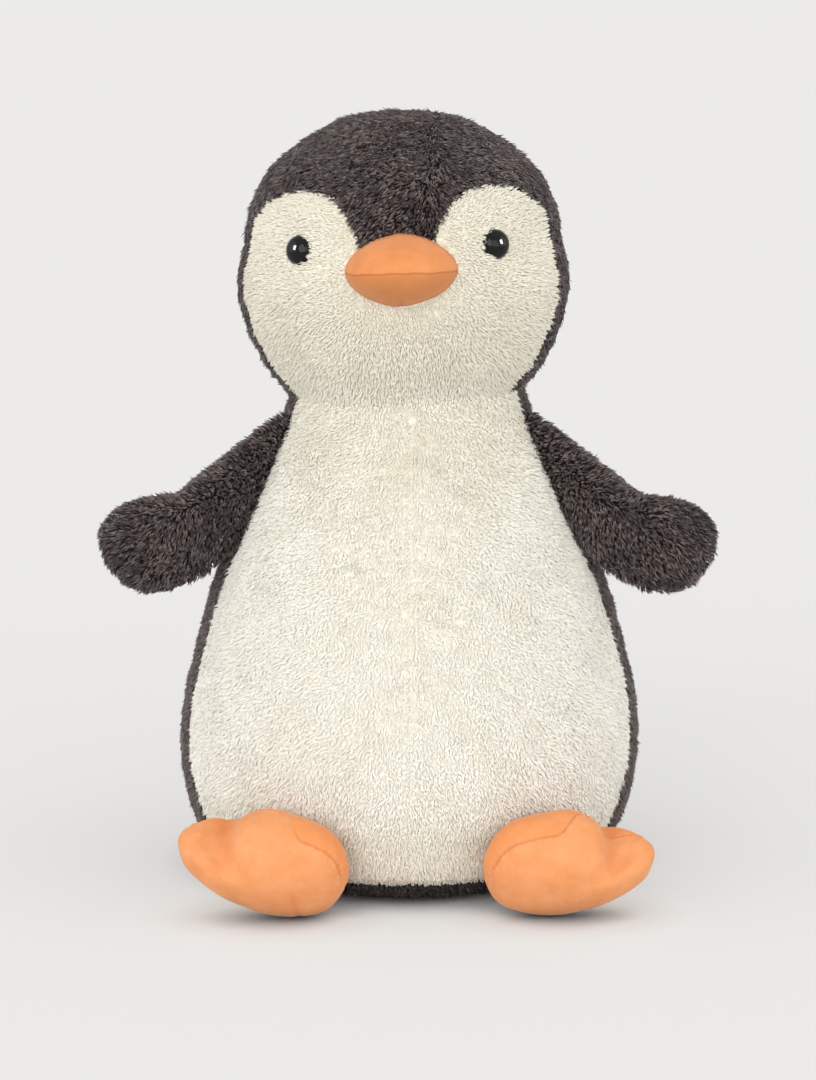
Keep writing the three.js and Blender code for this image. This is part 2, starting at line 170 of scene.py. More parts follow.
def bake_modifiers(obj):
    """Applies every modifier of an object to its mesh."""
    graph = bpy.context.evaluated_depsgraph_get()
    made = bpy.data.meshes.new_from_object(obj.evaluated_get(graph))
    old, name = obj.data, obj.data.name
    obj.modifiers.clear()
    obj.data = made
    bpy.data.meshes.remove(old)
    made.name = name
    made.polygons.foreach_set("use_smooth", np.ones(len(made.polygons), bool))
    return obj


def relax(obj, rounds, weight=0.5):
    """Evens a surface out without shrinking it much."""
    co, edges = points_of(obj), edges_of(obj)
    degree = np.bincount(edges.ravel(), minlength=len(co))[:, None]
    for i in range(rounds * 2):
        total = np.zeros_like(co)
        np.add.at(total, edges[:, 0], co[edges[:, 1]])
        np.add.at(total, edges[:, 1], co[edges[:, 0]])
        co += (total / np.maximum(degree, 1) - co) * (weight if i % 2 == 0 else -weight * 1.03)
    set_points(obj, co)


def grid_faces(rings, around):
    """Triangles of a closed surface of rings, with one pole before them and one after."""
    j = np.arange(around)
    k = (j + 1) % around
    faces = [np.stack([np.zeros(around, int), 1 + k, 1 + j], 1)]
    for i in range(rings - 1):
        a, b = 1 + i * around, 1 + (i + 1) * around
        faces += [np.stack([a + j, a + k, b + k], 1), np.stack([a + j, b + k, b + j], 1)]
    a = 1 + (rings - 1) * around
    faces.append(np.stack([a + j, a + k, np.full(around, 1 + rings * around)], 1))
    return np.concatenate(faces)


def tree_of(nodes):
    """One search tree over CAD nodes' surfaces, and which node each triangle belongs to."""
    co, faces, owner, start = [], [], [], 0
    for n, name in enumerate(nodes):
        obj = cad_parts[name]
        p, t = points_of(obj), triangles_of(obj)
        co.append(p)
        faces.append(t + start)
        owner += [n] * len(t)
        start += len(p)
    tree = BVHTree.FromPolygons(np.concatenate(co).tolist(), np.concatenate(faces).tolist())
    return tree, np.array(owner)


def owners(points, nodes):
    """Which of the CAD nodes is nearest to each point."""
    tree, owner = tree_of(nodes)
    return owner[[tree.find_nearest(p)[2] for p in points.tolist()]]


def within(points, tree):
    """Which points lie inside a closed search tree's surface."""
    found = np.zeros(len(points), bool)
    for i, p in enumerate(points.tolist()):
        p = Vector(p)
        place, normal, _, _ = tree.find_nearest(p)
        found[i] = (p - place).dot(normal) < 0
    return found


# ---------------------------------------------------------------- materials


class Shader:
    """A node material in the making."""

    def __init__(self, name, roughness=0.9):
        self.material = bpy.data.materials.new(name)
        self.material.use_nodes = True
        self.tree = self.material.node_tree
        self.surface = self.tree.nodes["Principled BSDF"]
        self.surface.inputs["Roughness"].default_value = roughness

    def set(self, **values):
        for name, value in values.items():
            self.surface.inputs[name.replace("_", " ")].default_value = value
        return self

    def node(self, kind, **values):
        made = self.tree.nodes.new(kind)
        for name, value in values.items():
            if name in made.inputs:
                made.inputs[name].default_value = value
            else:
                setattr(made, name, value)
        return made

    def link(self, a, b):
        self.tree.links.new(a, b)

    def noise(self, scale, detail=3.0, roughness=0.5):
        place = self.node("ShaderNodeTexCoord").outputs["Object"]
        made = self.node("ShaderNodeTexNoise", Scale=scale, Detail=detail, Roughness=roughness)
        self.link(place, made.inputs["Vector"])
        return made.outputs["Fac"]

    def ramp(self, source, stops):
        made = self.node("ShaderNodeValToRGB")
        for _ in range(len(stops) - 2):
            made.color_ramp.elements.new(0.5)
        for element, (place, colour) in zip(made.color_ramp.elements, stops):
            element.position = place
            element.color = (*colour, 1)
        self.link(source, made.inputs["Fac"])
        return made.outputs["Color"]

    def scaled(self, source, low, high, most):
        """0 below low, most above high, and even between them."""
        made = self.node("ShaderNodeMapRange")
        for name, value in (("From Min", low), ("From Max", high), ("To Max", most)):
            made.inputs[name].default_value = value
        self.link(source, made.inputs["Value"])
        return made.outputs["Result"]

    def mix(self, share, a, b):
        made = self.node("ShaderNodeMix", data_type="RGBA")
        for socket, value in ((made.inputs[0], share), (made.inputs[6], a), (made.inputs[7], b)):
            if isinstance(value, bpy.types.NodeSocket):
                self.link(value, socket)
            else:
                socket.default_value = value
        return made.outputs[2]

    def colour(self, source):
        self.link(source, self.surface.inputs["Base Color"])

    def bump(self, source, strength, distance):
        made = self.node("ShaderNodeBump", Strength=strength, Distance=distance)
        self.link(source, made.inputs["Height"])
        self.link(made.outputs["Normal"], self.surface.inputs["Normal"])


def plush_shades(name, shades, sheen):
    """One plain material for each shade of a plush."""
    made = []
    for i, shade in enumerate(shades):
        s = Shader(f"{name}_{i}", 0.92)
        s.set(Base_Color=(*shade, 1), Specular_IOR_Level=0.0, Sheen_Weight=sheen, Sheen_Roughness=0.6)
        made.append(s.material)
    return made


def cloth_backing(name, dark, light):
    """The knitted backing between the roots of the pile."""
    s = Shader(name, 0.95)
    s.set(Specular_IOR_Level=0.0)
    s.colour(s.ramp(s.noise(900, 2), [(0.3, dark), (0.7, light)]))
    s.bump(s.noise(1400, 2), 0.4, 0.0006)
    return s.material


def suede(name, deep, mid, pale, nap_and_painted_light, seam):
    """Short-napped suede: blotches where the nap lies differently, a fine grain, and darker seams."""
    s = Shader(name, 0.9)
    s.set(Specular_IOR_Level=0.0, Sheen_Weight=0.3, Sheen_Roughness=0.4, Sheen_Tint=(1.0, 0.78, 0.6, 1))
    nap = s.ramp(s.noise(38, 6, 0.66), [(0.3, deep), (0.5, mid), (0.7, pale)])
    grain = s.ramp(s.noise(1000, 3, 0.7), [(0.25, deep), (0.75, pale)])
    mark_of = {
        n: s.node("ShaderNodeAttribute", attribute_name=n).outputs["Fac"] for n in ("seam", "nap_and_painted_light")
    }
    napped = s.mix(0.25, nap, grain)
    # The stronger colour is partly nap and partly painted shade on the beak's lower half, and painted light
    # and painted shade on the feet.
    napped_and_painted_light = s.mix(mark_of["nap_and_painted_light"], napped, (*nap_and_painted_light, 1))
    s.colour(s.mix(mark_of["seam"], s.mix(0.35, napped_and_painted_light, napped), (*seam, 1)))
    s.bump(s.noise(1500, 3, 0.7), 0.35, 0.0004)
    return s.material


# Charcoal runs from the deepest strands to the lightest. Cream has two warm shades first, for the foot of
# the belly, and then runs from the deepest to the lightest. The two warm shades are painted light, the warm
# light bounced up onto the foot of the belly. The deeper shades of both are painted shade: at the roots of
# the strands, over the cream face and neck, at the charcoal hem and on the top of the hood.
CHARCOAL_SHADES = plush_shades(
    "charcoal_pile",
    [
        (0.0095, 0.0063, 0.006), (0.025, 0.0162, 0.0153), (0.051, 0.0347, 0.0324),
        (0.096, 0.0695, 0.0648), (0.195, 0.15, 0.138),
    ],
    0.22,
)
CREAM_SHADES = plush_shades(
    "cream_pile",
    [
        (0.95, 0.855, 0.74), (0.94, 0.875, 0.765), (0.815, 0.77, 0.645),
        (0.875, 0.84, 0.73), (0.918, 0.89, 0.808), (0.935, 0.915, 0.853),
    ],
    0.1,
)
# Each backing takes the colour of its pile's deeper shades, painted shade for the gaps between the strands.
CHARCOAL_BACKING = cloth_backing("charcoal_backing", (0.012, 0.009, 0.009), (0.03, 0.023, 0.023))
CREAM_BACKING = cloth_backing("cream_backing", (0.90, 0.85, 0.72), (0.95, 0.91, 0.81))
SEAM_THREAD = (0.36, 0.085, 0.025)
SUEDE = suede(
    "orange_suede",
    deep=(0.66, 0.242, 0.086), mid=(0.735, 0.3, 0.123), pale=(0.795, 0.355, 0.165),
    # On the feet the stronger colour is painted light on the upper strip and painted shade in the notch and
    # crease.
    nap_and_painted_light=(0.75, 0.255, 0.08), seam=SEAM_THREAD,
)
BEAK_SUEDE = suede(
    "orange_suede_beak",
    deep=(0.61, 0.215, 0.075), mid=(0.68, 0.258, 0.096), pale=(0.74, 0.3, 0.12),
    # On the beak the stronger colour darkens the lower half, partly nap and partly painted shade.
    nap_and_painted_light=(0.49, 0.19, 0.066), seam=SEAM_THREAD,
)

# ---------------------------------------------------------------- stuffed shapes (mm, as in the CAD)

TORSO_SIDE = [
    (134, 0), (167, 10), (193, 42), (205, 97), (202, 148), (192, 190),
    (180, 239), (165, 283), (126, 372), (108, 416), (103, 440),
]
HEAD_SIDE = [
    (98, 412), (106, 426), (125, 451), (141, 487), (147.5, 522), (141.5, 557),
    (134, 593), (113, 628), (60, 664), (18, 673),
]
NECK_Z = 426
HEM = 20  # height of the dark hem round the bottom
HEAD_X, HEAD_TOP = -4, 674
TORSO_BACK = 0.82  # depth for a width of 1
HEAD_FRONT, HEAD_BACK = 0.9, 0.88
FACE_PLACE = (-3.8, 0, 541)
FACE_TURN, FACE_TILT = np.radians(-2.5), np.radians(-1.85)

INSET = 4.5  # of the backing cloth from the tips of the pile
SWELL_CAP = {"plush": 2.5, "foot": 2.5, "beak": 1.2}  # most that each skin may swell
SKIN_INSET = INSET + SWELL_CAP["plush"] * 0.6  # of a plush skin before it swells
VOXEL = {"body": 6, "flipper": 5, "foot": 3.4, "beak": 2.5}  # of the remeshed skins
SWELL_PRESSURE, SWELL_FRAMES = 4, 20


def torso_front(z):
    """The belly sags forwards at the bottom and is flatter up at the neck."""
    return 1.06 - 0.16 * step(z, 120, 430)


def head_front(z):
    return np.full(np.shape(z), HEAD_FRONT)


def round_body(outline, bottom, top, front, back, middle_x, inset, around=120):
    """A stuffed round body from its side outline, in metres."""
    curve = open_spline(outline, 140)
    along = unit(np.gradient(curve, axis=0))
    curve = curve + np.stack([-along[:, 1], along[:, 0]], 1) * inset
    curve[:, 1] = np.clip(curve[:, 1], bottom + inset, None)
    curve = curve[(curve[:, 1] > bottom + inset - 1e-6) & (curve[:, 1] < top)]
    flat = [[curve[0, 0] * s, curve[0, 1]] for s in (0.35, 0.7)]
    cap = [[curve[-1, 0] * s, curve[-1, 1]] for s in (0.7, 0.35)]
    curve = np.concatenate([flat, curve, cap])
    turn = np.arange(around) / around * 2 * np.pi
    x = curve[:, :1] * np.cos(turn)
    y = curve[:, :1] * np.sin(turn)
    z = np.repeat(curve[:, 1:], around, 1)
    y = y * np.where(y < 0, front(z), back)
    rings = np.stack([x + middle_x, y, z], 2).reshape(-1, 3)
    poles = [[middle_x, 0, curve[0, 1]]], [[middle_x, 0, curve[-1, 1]]]
    return np.concatenate([poles[0], rings, poles[1]]) * MM, grid_faces(len(curve), around)


def pillow(outline, middle, half_thickness, inset, place, around=128, across=40):
    """A pillow round a middle point of its outline. place maps its own millimetres to metres."""
    turn = np.arange(around) / around
    arm = closed_spline(outline, turn) - np.asarray(middle, float)
    reach = np.linalg.norm(arm, axis=1)
    arm = arm / reach[:, None] * (reach - inset)[:, None]
    lift = np.linspace(-np.pi / 2, np.pi / 2, across + 2)[1:-1]
    flat = np.asarray(middle) + arm[None] * np.cos(lift)[:, None, None]
    bulge = np.sin(lift)[:, None] * (half_thickness(flat[..., 1]) - inset)
    rings = np.concatenate([flat, bulge[..., None]], 2).reshape(-1, 3)
    ends = [[*middle, s * (half_thickness(np.array(float(middle[1]))) - inset)] for s in (-1, 1)]
    co = np.concatenate([[ends[0]], rings, [ends[1]]])
    return place(co), grid_faces(across, around)


def placed(origin, axes):
    """A map from a frame of three axes at an origin, in millimetres, to metres in the toy's frame."""
    axes, origin = np.asarray(axes, float), np.asarray(origin, float)
    return lambda p: (origin + np.asarray(p, float) @ axes) * MM


def local(origin, axes):
    """The map back from metres in the toy's frame to millimetres in a frame of its own."""
    axes, origin = np.asarray(axes, float), np.asarray(origin, float)
    return lambda p: (np.asarray(p, float) / MM - origin) @ axes.T


def soft_skin(name, shape, voxel, nodes):
    """A remeshed skin, with the vertices on the seams between its CAD panels marked as pinned."""
    obj = mesh_object(name, *shape)
    remesh = obj.modifiers.new("even", "REMESH")
    remesh.mode = "VOXEL"
    remesh.voxel_size = voxel * MM
    bake_modifiers(obj)
    relax(obj, 2)
    panel = owners(points_of(obj), nodes)
    edges = edges_of(obj)
    seam = np.unique(edges[panel[edges[:, 0]] != panel[edges[:, 1]]])
    group = obj.vertex_groups.new(name="seams")
    group.add([int(i) for i in seam], 1.0, "REPLACE")
    return obj


def swell(objs, cap):
    """Fills skins by cloth simulation under pressure, held at their seams."""
    before = {o.name: points_of(o) for o in objs}
    for o in objs:
        cloth = o.modifiers.new("cloth", "CLOTH")
        cloth.settings.use_pressure = True
        cloth.settings.uniform_pressure_force = SWELL_PRESSURE
        cloth.settings.effector_weights.gravity = 0
        cloth.settings.vertex_group_mass = "seams"
        cloth.settings.quality = 5
    for f in range(SWELL_FRAMES):
        SCENE.frame_set(f + 1)
    for o in objs:
        bake_modifiers(o)
        move = points_of(o) - before[o.name]
        far = np.linalg.norm(move, axis=1, keepdims=True)
        limit = cap[o.name] * MM
        set_points(o, before[o.name] + move * np.minimum(1, limit / np.maximum(far, 1e-9)))
    SCENE.frame_set(1)


# ---------------------------------------------------------------- the skins

HEAD_NODES = ["face_panel_left", "face_panel_right", "hood_left", "hood_right"]
TORSO_NODES = ["belly_panel_left", "belly_panel_right", "back_panel_left", "back_panel_right", "base_panel"]
FLIPPER_OUTLINE = [
    (-86, -14), (-14, 32), (33, 66), (61, 103), (86, 114),
    (113, 97), (125, 62), (106, 26), (46, -14), (-20, -14),
]  # its root reaches 14 mm into the torso's side
FLIPPER_MIDDLE, FLIPPER_REACH = (40, 50), 114
FLIPPER_ROOT_HALF, FLIPPER_TIP_HALF = 12, 27  # half of its thickness
FLIPPER_SEAM = [(404, -33), (282, -52)]  # height and y of the ends of the root seam, the top one first
FLIPPER_GAP = 3  # from the torso's surface to the root
FLIPPER_TIP = (140, -20, -45)  # from the middle of the root seam
FOOT_OUTLINE = [
    (-74, -3), (-65, 22), (-46, 35), (-22, 43), (-2, 46), (16, 40), (29, 25), (43, 19),
    (58, 23), (72, 17), (72, -2), (52, -25), (20, -44), (-20, -53), (-56, -47), (-71, -26),
]
FOOT_HALF_THICK = 41
FOOT_PITCH, FOOT_TURN = np.radians(62), np.radians(8)
FOOT_ROLL = {"left": np.radians(-7), "right": np.radians(4)}
# The height of each foot's middle is what rests it on the floor.
FOOT_ORIGIN = {"left": np.array([137, -214.5, 48.59]), "right": np.array([-122.5, -223, 52.21])}
MIRROR = {"left": np.array([1.0, 1, 1]), "right": np.array([-1.0, 1, 1])}


def flipper_root():
    """The left flipper's origin, and its axes down the root seam, outwards and to the front.

    Both are rounded, so that its skin is meshed in the same way on every machine.
    """
    ends = []
    for z, y in FLIPPER_SEAM:
        wide = np.interp(z, [p[1] for p in TORSO_SIDE], [p[0] for p in TORSO_SIDE])
        ends.append(np.array([np.sqrt(wide**2 - y**2), y, z]))
    top, bottom = ends
    down = unit(bottom - top)
    forwards = unit(np.cross(down, FLIPPER_TIP))
    outwards = np.cross(forwards, down)
    origin = (top + bottom) / 2 + outwards * FLIPPER_GAP
    return np.round(origin, 3), np.round([down, outwards, forwards], 4)


FLIPPER_ORIGIN, FLIPPER_AXES = flipper_root()


def flipper_half(out):
    """Half of a flipper's thickness, which is full from seven tenths of the way out."""
    share = np.sin(np.pi / 2 * np.clip(out / (0.7 * FLIPPER_REACH), 0, 1))
    return FLIPPER_ROOT_HALF + (FLIPPER_TIP_HALF - FLIPPER_ROOT_HALF) * share


def foot_half(out):
    return np.full(np.shape(out), float(FOOT_HALF_THICK))


def flipper_frame(side):
    return FLIPPER_ORIGIN * MIRROR[side], FLIPPER_AXES * MIRROR[side]


def foot_frame(side):
    """Across the foot outwards, from the heel to the toes, and out of the sole."""
    turned_in = Matrix.Rotation(FOOT_ROLL[side], 3, "Z").transposed()
    c, s = np.cos(FOOT_PITCH), np.sin(FOOT_PITCH)
    pitched = Matrix(((1, 0, 0), (0, -c, s), (0, -s, -c)))
    outwards = Matrix.Rotation(FOOT_TURN, 3, "Z").transposed()
    return FOOT_ORIGIN[side], np.array(turned_in @ pitched @ outwards) * MIRROR[side]


skins = {
    "torso": soft_skin(
        "torso",
        round_body(TORSO_SIDE, 0, NECK_Z + 12, torso_front, TORSO_BACK, 0, SKIN_INSET),
        VOXEL["body"],
        TORSO_NODES,
    ),
    "head": soft_skin(
        "head",
        round_body(HEAD_SIDE, NECK_Z - 14, HEAD_TOP - INSET, head_front, HEAD_BACK, HEAD_X, SKIN_INSET),
        VOXEL["body"],
        HEAD_NODES,
    ),
}
# The beans have settled towards one side of the body, which is that much fuller.
FULLER_BY, FULLER_AT, FULLER_OVER = 4.5 * MM, 0.19, 0.1
settled = points_of(skins["torso"])
sag = np.exp(-(((settled[:, 2] - FULLER_AT) / FULLER_OVER) ** 2))
settled[:, 0] += FULLER_BY * step(settled[:, 0], 0.03, 0.15) * sag
set_points(skins["torso"], settled)
for side in ("left", "right"):
    skins[f"flipper_{side}"] = soft_skin(
        f"flipper_{side}",
        pillow(FLIPPER_OUTLINE, FLIPPER_MIDDLE, flipper_half, SKIN_INSET, placed(*flipper_frame(side))),
        VOXEL["flipper"],
        [f"flipper_{side}_front", f"flipper_{side}_back"],
    )
    skins[f"foot_{side}"] = soft_skin(
        f"foot_{side}",
        pillow(FOOT_OUTLINE, (0, 0), foot_half, 1.0, placed(*foot_frame(side))),
        VOXEL["foot"],
        [f"foot_{side}_sole", f"foot_{side}_upper"],
    )

face_turn = Matrix.Rotation(FACE_TURN, 3, "Z") @ Matrix.Rotation(FACE_TILT, 3, "Y")
FACE_AXES = np.array(face_turn.transposed())
BEAK = {"x": 3, "width": 50, "height": 33, "reach": 62, "power": 1.75, "depth": -112}


def beak_shape(inset, rings=40, around=80):
    """The whole lemon of the beak, its point to the front."""
    lift = np.linspace(-np.pi / 2, np.pi / 2, rings + 2)[1:-1]
    turn = np.arange(around) / around * 2 * np.pi
    x = np.cos(lift)[:, None] * np.cos(turn)
    y = np.repeat(np.sin(lift)[:, None], around, 1)
    z = np.cos(lift)[:, None] * np.sin(turn)
    p = np.concatenate([[[0, -1, 0]], np.stack([x, y, z], 2).reshape(-1, 3), [[0, 1, 0]]])
    size = (np.abs(p) ** BEAK["power"]).sum(1, keepdims=True) ** (-1 / BEAK["power"])
    p = p * size * (BEAK["width"] - inset, BEAK["reach"] - inset, BEAK["height"] - inset)
    p += (BEAK["x"], BEAK["depth"], 0)
    return placed(FACE_PLACE, FACE_AXES)(p), grid_faces(rings, around)


skins["beak"] = soft_skin("beak", beak_shape(0.8), VOXEL["beak"], ["beak_upper", "beak_lower"])
swell(list(skins.values()), {name: SWELL_CAP.get(name.split("_")[0], SWELL_CAP["plush"]) for name in skins})

# ---------------------------------------------------------------- riding


def follow(obj, part):
    """A piece of the torso, head or a flipper keeps its place in the toy's frame; any other is attached to
    its body.
    """
    if part in ("torso", "head"):
        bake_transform(obj)
    elif part.startswith("flipper"):
        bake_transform(obj)
    else:
        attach(obj, part)


# ---------------------------------------------------------------- pile

SHADES = {"cream": CREAM_SHADES, "charcoal": CHARCOAL_SHADES}
BACKINGS = {"cream": CREAM_BACKING, "charcoal": CHARCOAL_BACKING}
BACKING_THICK = 1.2


def colour_of(node):
    return "cream" if node.startswith(("face", "belly")) else "charcoal"


def panels(part, nodes):
    """Splits a skin into one backing cloth for each CAD panel."""
    obj = skins[part]
    co, faces = points_of(obj), triangles_of(obj)
    owner = owners(co[faces].mean(1), nodes)
    for n, node in enumerate(nodes):
        kept = faces[owner == n]
        used, index = np.unique(kept, return_inverse=True)
        backing = BACKINGS[colour_of(node)]
        cloth = mesh_object(f"{node}_cloth", co[used], index.reshape(-1, 3), [backing])
        thick = cloth.modifiers.new("thickness", "SOLIDIFY")
        thick.thickness = BACKING_THICK * MM
        thick.offset = -1
        bake_modifiers(cloth)
        follow(cloth, part)
        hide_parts(node)


def scatter(obj, area, rng):
    """Points spread over a surface, one for each share of area, with their normals."""
    co, normals, tris = points_of(obj), normals_of(obj), triangles_of(obj)
    a, b, c = (co[tris[:, i]] for i in range(3))
    size = np.linalg.norm(np.cross(b - a, c - a), axis=1) / 2
    count = int(size.sum() / area)
    at = (np.arange(count) + rng.random(count)) / count * size.sum()
    t = tris[np.minimum(np.searchsorted(np.cumsum(size), at), len(tris) - 1)]
    u, v = rng.random((2, count, 1))
    u, v = np.where(u + v > 1, 1 - u, u), np.where(u + v > 1, 1 - v, v)
    w = 1 - u - v
    place = co[t[:, 0]] * w + co[t[:, 1]] * u + co[t[:, 2]] * v
    normal = unit(normals[t[:, 0]] * w + normals[t[:, 1]] * u + normals[t[:, 2]] * v)
    return place, normal


STRAND_AREA = 2.3 * MM * MM  # of cloth for each cream strand
CHARCOAL_SHARE = 0.72  # of the cream's strands in the same area
STRAND_WIDE = {"cream": 0.78 * MM, "charcoal": 0.95 * MM}  # radius at the root
STRAND_KNEE = 0.8  # of that radius, half way up
STRAND_SOFT = {"cream": 0.55, "charcoal": 0.0}  # how far a strand is shaded as the cloth under it is
STRAND_DEEP = 0.8 * MM  # how far below the cloth a strand starts
CLUMP_STRANDS = 4
PILE_LONG = {"face": 6.2, "hood": 9.0, "belly": 6.2, "back": 7.4, "flipper": 8.2}
PILE_LEAN = {"face": 0.68, "hood": 0.97, "belly": 0.72, "back": 0.74, "flipper": 0.72}
MIDDLE_SHADE = {"cream": 4.2, "charcoal": 2.9}  # the commonest shade of each plush
LOWEST_KNEE, LOWEST_TIP = 1.2 * MM, 0.4 * MM  # so that no strand goes through the floor


def strands(root, normal, flow, lean, length, rng):
    """Strands that curl over along a flow: where each one bends, where it ends, and its tuft."""
    count = len(root)
    along = unit(flow - normal * (flow * normal).sum(1, keepdims=True))
    side = np.cross(normal, along)
    spin = 0.25 * waves(root, 0.035, 11) + 0.18 * waves(root, 0.01, 12) + rng.normal(0, 0.22, count)
    along = along * np.cos(spin)[:, None] + side * np.sin(spin)[:, None]
    lean = lean + 0.12 * waves(root, 0.011, 13) + rng.normal(0, 0.2, count)
    lean = np.clip(lean, 0.1, 1.1)[:, None]
    length = (length * (1 + 0.08 * waves(root, 0.008, 14) + rng.normal(0, 0.12, count)))[:, None]
    knee = root + (normal * np.cos(0.4 * lean) + along * np.sin(0.4 * lean)) * length / 2
    tip = knee + (normal * np.cos(1.5 * lean) + along * np.sin(1.5 * lean)) * length / 2
    chosen = rng.choice(count, count // CLUMP_STRANDS, replace=False)
    tree = KDTree(len(chosen))
    for i in chosen.tolist():
        tree.insert(root[i], i)
    tree.balance()
    nearest = np.array([tree.find(p)[1] for p in root.tolist()])
    pull = rng.uniform(0.15, 0.5, count)[:, None]
    tip = tip + (tip[nearest] - tip) * pull
    knee = knee + (knee[nearest] - knee) * pull * 0.3
    return knee, tip, nearest


def grow(name, root, normal, knee, tip, low, high, wide, soft, shades, rng):
    """One mesh of thin three-sided strands, darker below their bend, which is painted shade between the
    strands.
    """
    count = len(root)
    along = unit(tip - root)
    across = unit(np.cross(along, normal + 1e-3))
    other = np.cross(along, across)
    turn = rng.uniform(0, 2 * np.pi, count)
    rings, facing = [], []
    for centre, radius in ((root - normal * STRAND_DEEP, wide), (knee, wide * STRAND_KNEE)):
        for k in range(3):
            a = turn + k * 2 * np.pi / 3
            out = across * np.cos(a)[:, None] + other * np.sin(a)[:, None]
            rings.append(centre + out * radius)
            facing.append(unit(out * (1 - soft) + normal * soft))
    co = np.stack([*rings, tip], 1).reshape(-1, 3)
    corners = []
    for k in range(3):
        n = (k + 1) % 3
        corners += [(k, n, 3 + n), (k, 3 + n, 3 + k)]
    corners += [(3 + k, 3 + (k + 1) % 3, 6) for k in range(3)]
    first = np.arange(count)[:, None] * 7
    faces = np.stack([first + c for c in corners], 1).reshape(-1, 3)
    index = np.concatenate([np.repeat(low[:, None], 6, 1), np.repeat(high[:, None], 3, 1)], 1)
    obj = mesh_object(name, co, faces, shades, index.ravel())
    if soft:
        obj.data.normals_split_custom_set_from_vertices(np.stack([*facing, normal], 1).reshape(-1, 3))
    return obj


def strand_shades(root, cream, clump, rng):
    """Which shade each strand has below its bend and above it, with painted light and painted shade in
    places.
    """
    height = root[:, 2]
    # hem: the charcoal near the floor is painted darker, painted contact shade.
    hem = step(-height, -0.032, -0.016)
    # neck and face: the cream is painted darker from the neck up, painted shade for light that falls off
    # towards the head. foot: the foot of the belly takes the warm light shades, painted light bounced up from
    # the floor and the feet.
    neck, face, foot = step(height, 0.30, 0.40), step(height, 0.43, 0.46), step(-height, -0.09, -0.03)
    cream_middle = MIDDLE_SHADE["cream"] - (1.4 * neck + 0.65 * face + 3.4 * foot)
    # The charcoal is also painted darker on the top of the hood, painted shade.
    charcoal_middle = MIDDLE_SHADE["charcoal"] - 1.2 * hem - 0.3 * step(height, 0.58, 0.66)
    middle = np.where(cream, cream_middle, charcoal_middle)
    mottle = np.where(cream, 0.65, 1.0)
    shade = middle + 0.25 * waves(root, 0.03, 21) + mottle * rng.normal(0, 0.55, len(root))[clump]
    shade = shade + mottle * rng.normal(0, 0.6, len(root))
    lightest = np.where(cream, len(CREAM_SHADES) - 1, len(CHARCOAL_SHADES) - 1)
    deepest = np.where(cream & (height > 0.2), 2, 0)
    high = np.clip(np.round(shade), np.maximum(deepest, 1), lightest).astype(int)
    # Below its bend each strand is painted darker, painted shade in the gaps between the strands.
    low = np.clip(np.round(shade - np.where(cream, 0.9, 2.2)), deepest, lightest).astype(int)
    return low, high


def pile(part, nodes, flow_of, length, lean, seed, drop):
    """The pile of one stuffed part, as one piece for each CAD panel."""
    rng = np.random.default_rng(seed)
    root, normal = scatter(skins[part], STRAND_AREA, rng)
    keep = ~drop(root, normal)
    root, normal = root[keep], normal[keep]
    owner = owners(root, nodes)
    cream = np.array([colour_of(n) == "cream" for n in nodes])[owner]
    keep = cream | (rng.random(len(root)) < CHARCOAL_SHARE)
    root, normal, owner, cream = root[keep], normal[keep], owner[keep], cream[keep]
    flow = flow_of(root, normal, cream)
    knee, tip, clump = strands(root, normal, flow, lean(root, cream), length(root, cream), rng)
    knee[:, 2] = np.maximum(knee[:, 2], LOWEST_KNEE)
    tip[:, 2] = np.maximum(tip[:, 2], np.where(cream, HEM * MM, LOWEST_TIP))
    low, high = strand_shades(root, cream, clump, rng)
    for n, node in enumerate(nodes):
        mine, look = owner == n, colour_of(node)
        parts = [v[mine] for v in (root, normal, knee, tip, low, high)]
        obj = grow(f"{node}_pile", *parts, STRAND_WIDE[look], STRAND_SOFT[look], SHADES[look], rng)
        follow(obj, part)


BEAK_MIDDLE = placed(FACE_PLACE, FACE_AXES)([BEAK["x"], -148, 0])  # where the face's pile parts
EYE_X, EYE_DEPTH, EYE_Z = 86, -110, 19  # of the toy's left eye, in the face's frame
EYE_RADIUS, EYE_HEIGHT, EYE_SINK = 12.5, 7.5, 2.0
EYE_CLEAR = 11.5  # no strand starts nearer than this to an eye's axis
in_face = local(FACE_PLACE, FACE_AXES)


def head_half_width(z):
    return np.interp(z, [p[1] for p in HEAD_SIDE], [p[0] for p in HEAD_SIDE])


def eye_frame(side):
    """The middle of an eye on the tips of the pile, and the direction straight out of it, in mm."""
    centre = placed(FACE_PLACE, FACE_AXES)([side * EYE_X, EYE_DEPTH, EYE_Z]) / MM
    wide = head_half_width(centre[2])
    deep = wide * HEAD_FRONT
    offset = centre[0] - HEAD_X
    centre[1] = -deep * np.sqrt(1 - (offset / wide) ** 2)
    rise = (head_half_width(centre[2] - 10) - head_half_width(centre[2] + 10)) / 20
    return centre, unit(np.array([offset / wide**2, centre[1] / deep**2, rise / wide]))


EYES = {"left": eye_frame(1), "right": eye_frame(-1)}


def head_drop(root, normal):
    """No pile below the neck, behind the beak or under the eyes."""
    gone = root[:, 2] < (NECK_Z - 5) * MM
    p = in_face(root)
    wide, high = BEAK["width"] - 1, BEAK["height"] - 1
    share = (np.abs(p[:, 0] - BEAK["x"]) / wide) ** BEAK["power"] + (np.abs(p[:, 2]) / high) ** BEAK["power"]
    gone |= (share < 0.93) & (p[:, 1] < 0)
    for centre, out in EYES.values():
        arm = root / MM - centre
        height = arm @ out
        across = np.linalg.norm(arm - height[:, None] * out, axis=1)
        gone |= (across < EYE_CLEAR) & (height > -40)
    return gone


